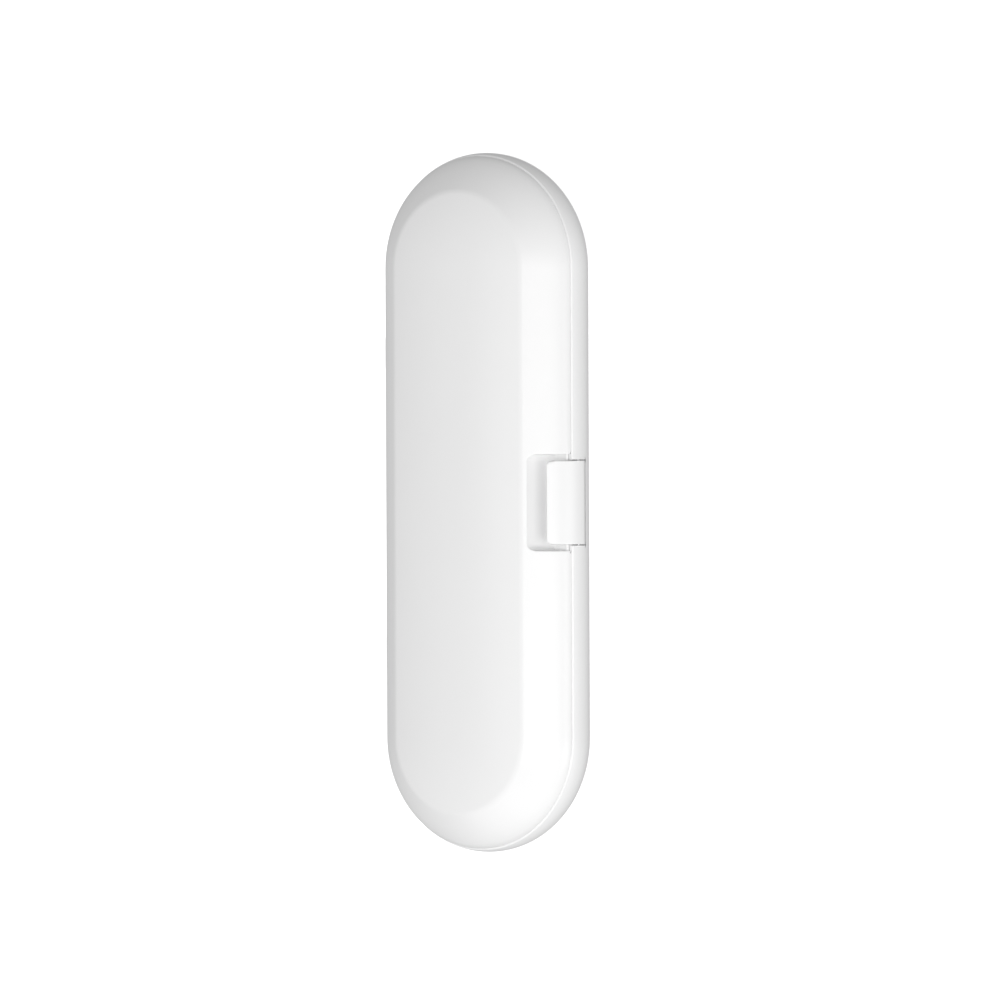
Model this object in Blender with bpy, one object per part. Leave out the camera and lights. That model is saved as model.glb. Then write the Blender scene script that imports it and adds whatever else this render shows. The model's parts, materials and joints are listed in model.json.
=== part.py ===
"""Hard clamshell travel case for an electric toothbrush.

The case lies on its back. X runs across it from the hinge to the clasp, Y runs along it and Z
rises through the lid. The origin is the middle of the flat on the back. All sizes are in metres.
"""
import math

import bmesh
import bpy
from mathutils import Matrix, Vector

# Outer form, shared by both shells
LENGTH = 0.215
BODY_WIDTH = 0.078
BODY_DEPTH = 0.032
END_LENGTH = 0.03525
PANEL_WIDTH = 0.0522
CROWN = 0.0022
FLAT_WIDTH = 0.024
FLANK_SHARES = (0.728, 0.409, 0.354)

# Shells and the joint between them
PARTING_RISE = 0.0035
WALL = 0.0016
SEAM_GAP = 0.0003
LIP_HEIGHT = 0.0012
LIP_THICKNESS = 0.0007
SKIRT = 0.0006

# Hinge on the -X side
HINGE_INSET = 0.0006
HINGE_DROP = 0.0016
HINGE_RADIUS = 0.00175
HINGE_END_GAP = 0.02625
LID_KNUCKLE = 0.010
BASE_KNUCKLE = 0.0055
HINGE_PIN_RADIUS = 0.0007
HINGE_SWEEP_GAP = 0.0006
HINGE_BOSS_WALL = 0.0011
HINGE_BOSS_DEPTH = 0.0065
HINGE_ARM_RISE = 0.0031
HINGE_ARM_SHOULDER = 0.0002
KNUCKLE_SINK = 0.0002

# Clasp, its pin and the finger scoop on the +X side
CLASP_LENGTH = 0.0257
CLASP_THICKNESS = 0.0015
CLASP_PROUD = 0.00085
CLASP_REACH = 0.0057
CLASP_CORNER = 0.0014
CLASP_KNUCKLE = 0.0021
PIVOT_RISE = 0.0002
LATCH_PIN_RADIUS = 0.0005
LATCH_PIN_SEAT = 0.0016
POCKET_DEPTH = 0.001
SCOOP_LENGTH = 0.0297
SCOOP_WIDTH = 0.0115
SCOOP_LEAN = 0.0021
SCOOP_FILLET = 0.0007
SCOOP_TOE = 0.0015
SCOOP_CORNER = 0.0023
KNUCKLE_EXIT = 300
SHELF_THICKNESS = 0.0011
CATCH_REACH = 0.0011
CATCH_HEIGHT = 0.0012
CATCH_END_GAP = 0.0018
LATCH_BOSS_WALL = 0.0012
LATCH_BOSS_DEPTH = 0.0068

# Moulded inserts and the soft rests in them
LINER = 0.0011
ARCH_GAP = 0.0005
TROUGH_END_GAP = 0.0146
DECK_DROP = 0.0005
SLOT_END_GAP = 0.02625
SLOT_SIDE_GAP = 0.0022
SLOT_FLOOR_GAP = 0.0009
INSERT_SWEEP_GAP = 0.0008
NOTCH_SPACE = 0.0014
REST_WIDTH = 0.0154
REST_LENGTH = 0.016
REST_END_GAP = 0.02425
REST_STAND = 0.0004

# Clearances
GAP = 0.0003
PIN_GAP = 0.00025
KNUCKLE_GAP = 0.00035
OVERRUN = 0.002
MERGE = 0.00001

# Fineness
END_STEPS = 24
HOLLOW_STEPS = 22
TROUGH_STEPS = 14
FLANK_STEPS = 9
PANEL_STEPS = 5
ROUND_STEPS = 20
ARC_STEPS = 7
CORNER_STEPS = 5

# Heights and radii that follow from the sizes above
BACK_EDGE = CROWN
FACE_EDGE = BODY_DEPTH - CROWN
EQUATOR = BODY_DEPTH / 2
PARTING = EQUATOR + PARTING_RISE
LID_RIM = PARTING + SEAM_GAP
HALF_STRAIGHT = LENGTH / 2 - END_LENGTH
END_SHARE = END_LENGTH / (BODY_WIDTH / 2)
HINGE_X = BODY_WIDTH / 2 - HINGE_INSET
HINGE_Z = PARTING - HINGE_DROP
HINGE_STATION = HALF_STRAIGHT - HINGE_END_GAP
PIVOT_X = BODY_WIDTH / 2 + CLASP_PROUD - CLASP_KNUCKLE
PIVOT_Z = EQUATOR + PIVOT_RISE
SHELF = LID_RIM + SHELF_THICKNESS
TROUGH_RADIUS = BODY_DEPTH / 2 - WALL - LINER - (GAP + ARCH_GAP) / 2
TROUGH_Z = WALL + GAP + LINER + TROUGH_RADIUS
TROUGH_STRAIGHT = LENGTH - 2 * (TROUGH_END_GAP + TROUGH_RADIUS)
DECK_TOP = PARTING - DECK_DROP
LID_DECK = LID_RIM + DECK_DROP
OUTSIDE = BODY_WIDTH / 2 + OVERRUN


def clear_scene():
    for item in list(bpy.data.objects):
        bpy.data.objects.remove(item)


def make_collection(name):
    group = bpy.data.collections.new(name)
    bpy.context.scene.collection.children.link(group)
    return group


def make_material(name, colour, roughness, metallic=0):
    material = bpy.data.materials.new(name)
    material.use_nodes = True
    shader = material.node_tree.nodes["Principled BSDF"]
    shader.inputs["Base Color"].default_value = (*colour, 1)
    shader.inputs["Roughness"].default_value = roughness
    shader.inputs["Metallic"].default_value = metallic
    return material


def flank_point(share):
    """A point and its outward normal on the side curve, from the equator (0) to the face edge (1)."""
    half, edge = BODY_WIDTH / 2, PANEL_WIDTH / 2
    rise = FACE_EDGE - EQUATOR
    across, down, up = FLANK_SHARES
    corners = (
        Vector((half, EQUATOR)),
        Vector((half, EQUATOR + up * rise)),
        Vector((edge + across * (half - edge), FACE_EDGE - down * rise)),
        Vector((edge, FACE_EDGE)),
    )
    rest = 1 - share
    weights = (rest**3, 3 * rest**2 * share, 3 * rest * share**2, share**3)
    point = sum((w * c for w, c in zip(weights, corners)), Vector((0, 0)))
    steps = [b - a for a, b in zip(corners, corners[1:])]
    tangent = rest**2 * steps[0] + 2 * rest * share * steps[1] + share**2 * steps[2]
    tangent.normalize()
    return point, Vector((tangent.y, -tangent.x))


def flank(inset):
    """The side curve from the back edge up to the face edge, moved in by an inset."""
    upper = []
    for step in range(FLANK_STEPS + 1):
        point, normal = flank_point(step / FLANK_STEPS)
        upper.append(point - inset * normal)
    lower = [Vector((p.x, 2 * EQUATOR - p.y)) for p in reversed(upper[1:])]
    return lower + upper


def radius_at(curve, height):
    """The curve's radius at a height."""
    for low, high in zip(curve, curve[1:]):
        if low.y <= height <= high.y:
            share = (height - low.y) / (high.y - low.y)
            return low.x + share * (high.x - low.x)
    return curve[0].x if height < curve[0].y else curve[-1].x


def between(curve, low, high):
    """The part of a curve between two heights, with its own end points."""
    inner = [p for p in curve if low + MERGE < p.y < high - MERGE]
    first = Vector((radius_at(curve, low), low))
    last = Vector((radius_at(curve, high), high))
    return [first, *inner, last]


def front_panel(edge_radius, inset):
    """The crowned front, from its edge in to the middle."""
    points = []
    for step in range(1, PANEL_STEPS + 1):
        radius = edge_radius * (1 - step / PANEL_STEPS)
        drop = CROWN * (radius / (PANEL_WIDTH / 2)) ** 2
        points.append(Vector((radius, BODY_DEPTH - drop - inset)))
    return points


def back_panel(edge_radius, inset):
    """The back, from the middle of its flat out to just short of its edge."""
    flat = FLAT_WIDTH / 2
    points = [Vector((0, inset)), Vector((flat, inset))]
    for step in range(1, PANEL_STEPS):
        share = step / PANEL_STEPS
        radius = flat + share * (edge_radius - flat)
        rise = CROWN * ((radius - flat) / (PANEL_WIDTH / 2 - flat)) ** 2
        points.append(Vector((radius, inset + rise)))
    return points


def arc(centre, radius, start, end, steps):
    """Points on an arc about a centre, by angles in degrees from the first axis."""
    points = []
    for step in range(steps + 1):
        angle = math.radians(start + (end - start) * step / steps)
        points.append(Vector((centre[0] + radius * math.cos(angle), centre[1] + radius * math.sin(angle))))
    return points


def finish(name, mesh_builder, group, material=None):
    mesh = bpy.data.meshes.new(name)
    mesh_builder.to_mesh(mesh)
    mesh_builder.free()
    piece = bpy.data.objects.new(name, mesh)
    group.objects.link(piece)
    if material:
        mesh.materials.append(material)
        mesh.shade_smooth()
        mesh.set_sharp_from_angle(angle=math.radians(28))
    else:
        piece.hide_render = True
        piece.display_type = "WIRE"
    return piece


def stretched_turning(name, profile, half_straight, end_share, steps, group, material=None):
    """A profile turned through half a circle at each end of a straight stretch along Y."""
    bm = bmesh.new()
    verts = [bm.verts.new((p.x, 0, p.y)) for p in profile]
    edges = [bm.edges.new(pair) for pair in zip(verts, verts[1:])]
    bmesh.ops.spin(
        bm, geom=verts + edges, angle=math.pi, steps=steps, axis=(0, 0, 1), cent=(0, 0, 0)
    )
    bmesh.ops.remove_doubles(bm, verts=bm.verts, dist=MERGE)
    bmesh.ops.scale(bm, vec=(1, end_share, 1), verts=bm.verts)
    bmesh.ops.translate(bm, vec=(0, half_straight, 0), verts=bm.verts)
    rim = [edge for edge in bm.edges if edge.is_boundary]
    pulled = bmesh.ops.extrude_edge_only(bm, edges=rim)["geom"]
    for vert in (item for item in pulled if isinstance(item, bmesh.types.BMVert)):
        vert.co.y = 0
    bmesh.ops.mirror(bm, geom=bm.verts[:] + bm.edges[:] + bm.faces[:], axis="Y", merge_dist=MERGE)
    bmesh.ops.remove_doubles(bm, verts=bm.verts, dist=MERGE)
    bmesh.ops.recalc_face_normals(bm, faces=bm.faces)
    return finish(name, bm, group, material)


def rod(name, radius, length, centre, group, material=None):
    """A round bar along Y."""
    bm = bmesh.new()
    bmesh.ops.create_cone(
        bm, cap_ends=True, segments=ROUND_STEPS, radius1=radius, radius2=radius, depth=length
    )
    bmesh.ops.rotate(bm, cent=(0, 0, 0), matrix=Matrix.Rotation(math.pi / 2, 3, "X"), verts=bm.verts)
    piece = finish(name, bm, group, material)
    piece.location = centre
    return piece


def block(name, low, high, group):
    """A box between two corners."""
    low, high = Vector(low), Vector(high)
    bm = bmesh.new()
    bmesh.ops.create_cube(bm, size=1)
    bmesh.ops.scale(bm, vec=high - low, verts=bm.verts)
    piece = finish(name, bm, group)
    piece.location = (low + high) / 2
    return piece


def prism(name, outline, length, group, material=None, rounded=None, radius=0, middle=0):
    """An outline in X and Z extruded along Y, with the edges that a test picks rounded."""
    bm = bmesh.new()
    low = middle - length / 2
    end = bm.faces.new([bm.verts.new((x, low, z)) for x, z in outline])
    pulled = bmesh.ops.extrude_face_region(bm, geom=[end])["geom"]
    far = [item for item in pulled if isinstance(item, bmesh.types.BMVert)]
    bmesh.ops.translate(bm, vec=(0, length, 0), verts=far)
    bmesh.ops.recalc_face_normals(bm, faces=bm.faces)
    if rounded:
        edges = [edge for edge in bm.edges if rounded(edge)]
        bmesh.ops.bevel(
            bm, geom=edges, offset=radius, segments=CORNER_STEPS, profile=0.5, affect="EDGES"
        )
    return finish(name, bm, group, material)


def combine(piece, tool, operation="DIFFERENCE"):
    modifier = piece.modifiers.new(tool.name, "BOOLEAN")
    modifier.operation = operation
    modifier.solver = "EXACT"
    modifier.object = tool


def hinge_stations():
    """The middle of each hinge along Y, and the name of its place."""
    return ((HINGE_STATION, "upper"), (-HINGE_STATION, "lower"))


def knuckle_offset():
    """From a hinge's middle to the middle of each of its outer knuckles."""
    return LID_KNUCKLE / 2 + GAP + BASE_KNUCKLE / 2


def hinge_length():
    return 2 * (knuckle_offset() + BASE_KNUCKLE / 2)


def hinge_pocket_radius():
    return HINGE_RADIUS + HINGE_SWEEP_GAP


def lip_radius():
    """The outer radius of the base's lip, which stands inside the lid's skirt."""
    return skirt_radius() - GAP


def skirt_radius():
    """The inner radius of the lid's skirt, where the skirt is thinnest."""
    return radius_at(flank(0), PARTING + LIP_HEIGHT + GAP) - SKIRT


def cavity_radius():
    """The straight inner side of the base, which its mould's core draws out of."""
    return lip_radius() - LIP_THICKNESS


def scoop_outline():
    """The finger scoop in the lid and the clasp's pocket below it, as one outline."""
    top = BODY_DEPTH + OVERRUN
    start_x = BODY_WIDTH / 2 - SCOOP_WIDTH
    foot = Vector((start_x + SCOOP_LEAN, SHELF + SCOOP_FILLET))
    start = Vector((start_x, FACE_EDGE))
    lean = (start - foot) / (start.y - foot.y)
    head = start + lean * (top - start.y)
    toe = Vector((foot.x + SCOOP_TOE, SHELF))
    swing = CLASP_KNUCKLE + KNUCKLE_GAP
    floor = between(flank(POCKET_DEPTH), PIVOT_Z + swing, SHELF)
    lowest = math.degrees(math.acos((floor[0].x - PIVOT_X) / swing))
    round_part = arc((PIVOT_X, PIVOT_Z), swing, lowest, KNUCKLE_EXIT, ARC_STEPS)
    exit_z = round_part[-1].y
    outer = [Vector((OUTSIDE, exit_z)), Vector((OUTSIDE, top))]
    return [head, foot, toe, *floor[:0:-1], *round_part, *outer]


def scoop_backing():
    """The solid that stands behind the scoop on the inside of the lid."""
    head, foot = scoop_outline()[:2]
    low = PARTING - OVERRUN
    back = Vector((WALL, 0))
    return [head - back, foot - back, Vector((foot.x - WALL, low)), Vector((OUTSIDE, low)),
            Vector((OUTSIDE, head.y))]


def is_scoop_corner(edge):
    """The two edges of the scoop's steep wall that run down its corners."""
    a, b = (vert.co for vert in edge.verts)
    foot = scoop_outline()[1]
    level = abs(a.y - b.y) < MERGE and abs(a.z - b.z) > SCOOP_FILLET
    return level and max(a.x, b.x) < foot.x + MERGE


def latch_boss_x():
    return PIVOT_X - CLASP_KNUCKLE - KNUCKLE_GAP - LATCH_BOSS_WALL


def latch_boss_length():
    return SCOOP_LENGTH + 2 * (LATCH_PIN_SEAT + LATCH_BOSS_WALL)


def hinge_boss_x():
    return -HINGE_X + hinge_pocket_radius() + HINGE_BOSS_WALL


def hinge_boss_length():
    return LID_KNUCKLE + 2 * (GAP + HINGE_BOSS_WALL)


def base_cavity(cutters):
    """The hollow of the base, less the bosses that stand in it."""
    inner = flank(WALL)
    side = cavity_radius()
    floor = back_panel(inner[0].x, WALL)
    wall = [p for p in inner if p.x < side and p.y < EQUATOR]
    top = PARTING + LIP_HEIGHT + OVERRUN
    turn = next(p for p in inner if p.x >= side)
    last = wall[-1]
    share = (side - last.x) / (turn.x - last.x)
    corner = last + share * (turn - last)
    profile = [*floor, *wall, corner, Vector((side, top)), Vector((0, top))]
    cavity = stretched_turning("base_cavity", profile, HALF_STRAIGHT, END_SHARE, HOLLOW_STEPS, cutters)
    reach = latch_boss_length() / 2
    boss = block(
        "latch_boss",
        (latch_boss_x(), -reach, PARTING - LATCH_BOSS_DEPTH),
        (OUTSIDE, reach, top + OVERRUN),
        cutters,
    )
    combine(cavity, boss)
    for middle, place in hinge_stations():
        half = hinge_boss_length() / 2
        boss = block(
            "hinge_boss_" + place,
            (-OUTSIDE, middle - half, PARTING - HINGE_BOSS_DEPTH),
            (hinge_boss_x(), middle + half, PARTING),
            cutters,
        )
        combine(cavity, boss)
    return cavity


def make_rear_shell(parts, cutters, scoop, plastic):
    """The deeper half: it rests on its back and carries the hinge pins and the clasp's pin."""
    outer = flank(0)
    lip, top = lip_radius(), PARTING + LIP_HEIGHT
    profile = [*back_panel(PANEL_WIDTH / 2, 0), *between(outer, BACK_EDGE, PARTING)]
    profile += [Vector((lip, PARTING)), Vector((lip, top)), Vector((0, top))]
    shell = stretched_turning("rear_shell", profile, HALF_STRAIGHT, END_SHARE, END_STEPS, parts, plastic)
    combine(shell, base_cavity(cutters))
    for middle, place in hinge_stations():
        centre = (-HINGE_X, middle, HINGE_Z)
        length = LID_KNUCKLE + 2 * (GAP + KNUCKLE_SINK)
        combine(shell, rod("lid_knuckle_pocket_" + place, hinge_pocket_radius(), length, centre, cutters))
        for side in (-1, 1):
            outer_centre = (-HINGE_X, middle + side * knuckle_offset(), HINGE_Z)
            name = "base_knuckle_%s_%s" % (place, "low" if side < 0 else "high")
            combine(shell, rod(name, HINGE_RADIUS, BASE_KNUCKLE, outer_centre, cutters), "UNION")
        length = hinge_length() + OVERRUN
        combine(shell, rod("hinge_bore_" + place, HINGE_PIN_RADIUS + PIN_GAP, length, centre, cutters))
    reach = latch_boss_length() / 2
    low = (latch_boss_x() - OVERRUN, -reach - GAP, PARTING - PIN_GAP)
    high = (lip + GAP / 2, reach + GAP, top + OVERRUN)
    combine(shell, block("lip_break", low, high, cutters))
    combine(shell, scoop)
    length = SCOOP_LENGTH + 2 * LATCH_PIN_SEAT
    centre = (PIVOT_X, 0, PIVOT_Z)
    combine(shell, rod("latch_bore", LATCH_PIN_RADIUS + PIN_GAP, length, centre, cutters))
    return shell


def lid_cavity(cutters):
    """The hollow of the lid with the rebate for the base's lip, less the scoop's backing."""
    inner = flank(WALL)
    low = PARTING - OVERRUN
    rebate, ceiling = skirt_radius(), PARTING + LIP_HEIGHT + GAP
    wall = between(inner, ceiling, inner[-1].y)
    profile = [Vector((0, low)), Vector((rebate, low)), Vector((rebate, ceiling)), *wall]
    profile += front_panel(inner[-1].x, WALL)
    cavity = stretched_turning("lid_cavity", profile, HALF_STRAIGHT, END_SHARE, HOLLOW_STEPS, cutters)
    combine(cavity, prism("scoop_backing", scoop_backing(), SCOOP_LENGTH + 2 * WALL, cutters))
    return cavity


def lid_arm_outline():
    """The arm that reaches down from the lid's skirt to its knuckle."""
    inside = -(skirt_radius() + SKIRT / 4)
    top = LID_RIM + HINGE_ARM_RISE
    root = -radius_at(flank(0), top)
    back = arc((-HINGE_X, HINGE_Z), HINGE_RADIUS, 160, 180, 1)
    return [
        back[0],
        back[1],
        (-HINGE_X, HINGE_Z - HINGE_PIN_RADIUS),
        (inside, HINGE_Z),
        (inside, LID_RIM + LIP_HEIGHT),
        (root + SKIRT, top),
        (root - HINGE_ARM_SHOULDER, top),
    ]


def make_lid_shell(parts, cutters, scoop, plastic):
    """The crowned half, with the finger scoop and two hinge knuckles."""
    outer = flank(0)
    profile = [Vector((0, LID_RIM)), *between(outer, LID_RIM, FACE_EDGE)]
    profile += front_panel(PANEL_WIDTH / 2, 0)
    shell = stretched_turning("lid_shell", profile, HALF_STRAIGHT, END_SHARE, END_STEPS, parts, plastic)
    combine(shell, lid_cavity(cutters))
    combine(shell, scoop)
    for middle, place in hinge_stations():
        for side in (-1, 1):
            centre = (-HINGE_X, middle + side * knuckle_offset(), HINGE_Z)
            name = "base_knuckle_pocket_%s_%s" % (place, "low" if side < 0 else "high")
            length = BASE_KNUCKLE + 2 * (GAP + KNUCKLE_SINK)
            combine(shell, rod(name, HINGE_RADIUS + GAP, length, centre, cutters))
        centre = (-HINGE_X, middle, HINGE_Z)
        knuckle = rod("lid_knuckle_" + place, HINGE_RADIUS, LID_KNUCKLE, centre, cutters)
        length = LID_KNUCKLE - 2 * HINGE_ARM_SHOULDER
        arm = prism("lid_arm_" + place, lid_arm_outline(), length, cutters, middle=middle)
        combine(knuckle, arm, "UNION")
        combine(shell, knuckle, "UNION")
        length = hinge_length() + OVERRUN
        combine(shell, rod("lid_bore_" + place, HINGE_PIN_RADIUS + PIN_GAP, length, centre, cutters))
    return shell


def make_hinge_pins(parts, steel):
    for middle, place in hinge_stations():
        centre = (-HINGE_X, middle, HINGE_Z)
        rod("hinge_pin_" + place, HINGE_PIN_RADIUS, hinge_length(), centre, parts, steel)


def catch_outline():
    """The bead inside the clasp that hooks over the lid's shelf."""
    inner = flank(CLASP_THICKNESS - CLASP_PROUD)
    low = SHELF + PIN_GAP
    high = low + CATCH_HEIGHT
    face = radius_at(inner, low)
    return [
        (face + CLASP_THICKNESS / 2, low),
        (radius_at(inner, high) + CLASP_THICKNESS / 2, high),
        (radius_at(inner, high) - MERGE, high),
        (face - CATCH_REACH, low + CATCH_HEIGHT / 2),
        (face - CATCH_REACH, low),
    ]


def is_clasp_corner(edge):
    """The two edges through the plate's thickness at its free end."""
    a, b = (vert.co for vert in edge.verts)
    high = PARTING + CLASP_REACH - CLASP_THICKNESS
    return abs(a.y - b.y) < MERGE and min(a.z, b.z) > high and (a - b).length > CLASP_THICKNESS / 2


def make_clasp(parts, cutters, plastic):
    """A plate that follows the shells' side, on a knuckle round its pin."""
    top = PARTING + CLASP_REACH
    outside = between(flank(-CLASP_PROUD), PIVOT_Z, top)
    inside = between(flank(CLASP_THICKNESS - CLASP_PROUD), PIVOT_Z, top)
    normal = Vector((1, 1)).normalized()
    end = outside[-1] - CLASP_THICKNESS * normal
    inside = [p for p in inside if p.y < end.y - MERGE] + [Vector((radius_at(inside, end.y), end.y))]
    outline = outside + inside[::-1]
    clasp = prism(
        "latch_clasp", outline, CLASP_LENGTH, parts, plastic, rounded=is_clasp_corner, radius=CLASP_CORNER
    )
    centre = (PIVOT_X, 0, PIVOT_Z)
    combine(clasp, rod("clasp_knuckle", CLASP_KNUCKLE, CLASP_LENGTH, centre, cutters), "UNION")
    length = CLASP_LENGTH - 2 * CATCH_END_GAP
    combine(clasp, prism("clasp_catch", catch_outline(), length, cutters), "UNION")
    length = CLASP_LENGTH + OVERRUN
    combine(clasp, rod("clasp_bore", LATCH_PIN_RADIUS + PIN_GAP, length, centre, cutters))
    return clasp


def make_latch_pin(parts, steel):
    length = SCOOP_LENGTH + 2 * (LATCH_PIN_SEAT - GAP)
    rod("latch_pin", LATCH_PIN_RADIUS, length, (PIVOT_X, 0, PIVOT_Z), parts, steel)


def trough_profile(radius, centre, top):
    """A round-bottomed trough with upright sides."""
    bowl = arc((0, centre), radius, -90, 0, ARC_STEPS)
    return [*bowl, Vector((radius, top)), Vector((0, top))]


def head_slot_x():
    """The slot's middle, halfway from the trough's wall to the clasp's boss."""
    return (TROUGH_RADIUS + LINER + latch_boss_x() - GAP) / 2


def head_slot_radius():
    return head_slot_x() - TROUGH_RADIUS - 2 * LINER - SLOT_SIDE_GAP


def head_slot_z():
    """The lowest place for the slot's round floor that clears the shell under it."""
    reach = head_slot_radius() + LINER + SLOT_FLOOR_GAP
    inner = flank(WALL)
    heights = []
    for point in [*back_panel(inner[0].x, WALL), *inner]:
        across = abs(point.x - head_slot_x())
        if across < reach and point.y < EQUATOR:
            heights.append(point.y + math.sqrt(reach**2 - across**2))
    return max(heights)


def rest_outline(upwards):
    """A slice of the trough's round wall that stands a little proud of it."""
    outer, inner = TROUGH_RADIUS + LINER, TROUGH_RADIUS - REST_STAND
    centre, turn = (0, TROUGH_Z), 90 if upwards else -90
    half = REST_WIDTH / 2 - GAP
    wide, narrow = (math.degrees(math.asin(half / r)) for r in (outer, inner))
    far = arc(centre, outer, turn - wide, turn + wide, CORNER_STEPS)
    near = arc(centre, inner, turn + narrow, turn - narrow, CORNER_STEPS)
    return far + near


def rest_stations():
    station = HALF_STRAIGHT - REST_END_GAP
    return ((station, "upper"), (-station, "lower"))


def deck_profile(radius, bottom):
    """A flat plate of the liner's thickness."""
    top = bottom + LINER
    return [Vector((0, bottom)), Vector((radius, bottom)), Vector((radius, top)), Vector((0, top))]


def make_tray(parts, cutters, plastic, rubber):
    """The insert in the base: a deck with a trough for the handle and a slot for each brush head."""
    bottom = DECK_TOP - LINER
    middle = (DECK_TOP + bottom) / 2
    deck = deck_profile(cavity_radius() - GAP, bottom)
    tray = stretched_turning("tray_insert", deck, HALF_STRAIGHT, END_SHARE, END_STEPS, parts, plastic)
    slot_z = head_slot_z()
    slot_half = HALF_STRAIGHT - SLOT_END_GAP - head_slot_radius()
    top = DECK_TOP + OVERRUN
    spaces = [("handle_trough", 0, TROUGH_RADIUS, TROUGH_Z, TROUGH_STRAIGHT / 2)]
    for side, place in ((-1, "hinge_side"), (1, "clasp_side")):
        spaces.append(("head_slot_" + place, side * head_slot_x(), head_slot_radius(), slot_z, slot_half))
    for name, x, radius, height, half in spaces:
        profile = trough_profile(radius + LINER, height, middle)
        wall = stretched_turning(name + "_wall", profile, half, 1, TROUGH_STEPS, cutters)
        wall.location.x = x
        combine(tray, wall, "UNION")
    for name, x, radius, height, half in spaces:
        profile = trough_profile(radius, height, top)
        hollow = stretched_turning(name, profile, half, 1, TROUGH_STEPS, cutters)
        hollow.location.x = x
        combine(tray, hollow)
    reach = latch_boss_length() / 2 + GAP
    low = (latch_boss_x() - GAP, -reach, bottom - OVERRUN)
    combine(tray, block("tray_latch_notch", low, (OUTSIDE, reach, top), cutters))
    for station, place in hinge_stations():
        reach = hinge_boss_length() / 2 + GAP
        low = (-OUTSIDE, station - reach, bottom - OVERRUN)
        high = (hinge_boss_x() + GAP, station + reach, top)
        combine(tray, block("tray_hinge_notch_" + place, low, high, cutters))
    for station, place in rest_stations():
        half, reach = REST_WIDTH / 2, REST_LENGTH / 2
        low = (-half, station - reach, 0)
        high = (half, station + reach, TROUGH_Z - TROUGH_RADIUS / 2)
        combine(tray, block("rest_window_" + place, low, high, cutters))
        length = REST_LENGTH - 2 * GAP
        prism("handle_rest_" + place, rest_outline(False), length, parts, rubber, middle=station)
    return tray


def make_lid_insert(parts, cutters, plastic, rubber):
    """The insert in the lid: a deck with an arch over the handle."""
    lip_corner = math.hypot(HINGE_X - cavity_radius(), PARTING + LIP_HEIGHT - HINGE_Z)
    sweep = math.sqrt((lip_corner + INSERT_SWEEP_GAP) ** 2 - (LID_DECK - HINGE_Z) ** 2)
    top = LID_DECK + LINER
    deck = deck_profile(HINGE_X - sweep, LID_DECK)
    insert = stretched_turning("lid_insert", deck, HALF_STRAIGHT, END_SHARE, END_STEPS, parts, plastic)
    half = TROUGH_STRAIGHT / 2
    for name, radius, low, operation in (
        ("arch_wall", TROUGH_RADIUS + LINER, (LID_DECK + top) / 2, "UNION"),
        ("arch", TROUGH_RADIUS, LID_DECK - OVERRUN, "DIFFERENCE"),
    ):
        start = math.degrees(math.asin((low - TROUGH_Z) / radius))
        dome = arc((0, TROUGH_Z), radius, start, 90, ARC_STEPS)
        tool = stretched_turning(name, [Vector((0, low)), *dome], half, 1, TROUGH_STEPS, cutters)
        combine(insert, tool, operation)
    reach = SCOOP_LENGTH / 2 + WALL + GAP
    low = (scoop_outline()[0].x - WALL - NOTCH_SPACE, -reach, LID_DECK - OVERRUN)
    combine(insert, block("insert_latch_notch", low, (OUTSIDE, reach, top + OVERRUN), cutters))
    for station, place in rest_stations():
        half, reach = REST_WIDTH / 2, REST_LENGTH / 2
        low = (-half, station - reach, TROUGH_Z + TROUGH_RADIUS / 2)
        high = (half, station + reach, BODY_DEPTH)
        combine(insert, block("lid_rest_window_" + place, low, high, cutters))
        length = REST_LENGTH - 2 * GAP
        prism("lid_rest_" + place, rest_outline(True), length, parts, rubber, middle=station)
    return insert


def main():
    clear_scene()
    parts = make_collection("toothbrush_travel_case")
    cutters = make_collection("cutters")
    shell_plastic = make_material("white_polypropylene", (0.86, 0.86, 0.86), 0.28)
    insert_plastic = make_material("white_insert_plastic", (0.8, 0.8, 0.8), 0.5)
    rubber = make_material("grey_soft_rubber", (0.35, 0.36, 0.37), 0.7)
    steel = make_material("stainless_steel", (0.56, 0.56, 0.58), 0.3, 1)
    scoop = prism(
        "finger_scoop", scoop_outline(), SCOOP_LENGTH, cutters, rounded=is_scoop_corner, radius=SCOOP_CORNER
    )
    make_rear_shell(parts, cutters, scoop, shell_plastic)
    make_lid_shell(parts, cutters, scoop, shell_plastic)
    make_hinge_pins(parts, steel)
    make_clasp(parts, cutters, shell_plastic)
    make_latch_pin(parts, steel)
    make_tray(parts, cutters, insert_plastic, rubber)
    make_lid_insert(parts, cutters, insert_plastic, rubber)


main()
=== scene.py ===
# %% [markdown]
# # A travel case for an electric toothbrush
# A hard case in two moulded shells, hinged on one long side and held by a snap clasp on the other.
# It lies on its back, closed. Inside are two moulded inserts that hold the handle and the heads.
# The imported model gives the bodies, the joints and the overall sizes. Here each part is modelled
# again with the roundings, lips and finishes that the eye expects, and set on the same bodies.
# Blender works in metres and a maker in millimetres, so each length is written as a number times MM.

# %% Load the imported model
import json
import math

import bmesh
import bpy
from mathutils import Matrix, Vector


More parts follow.
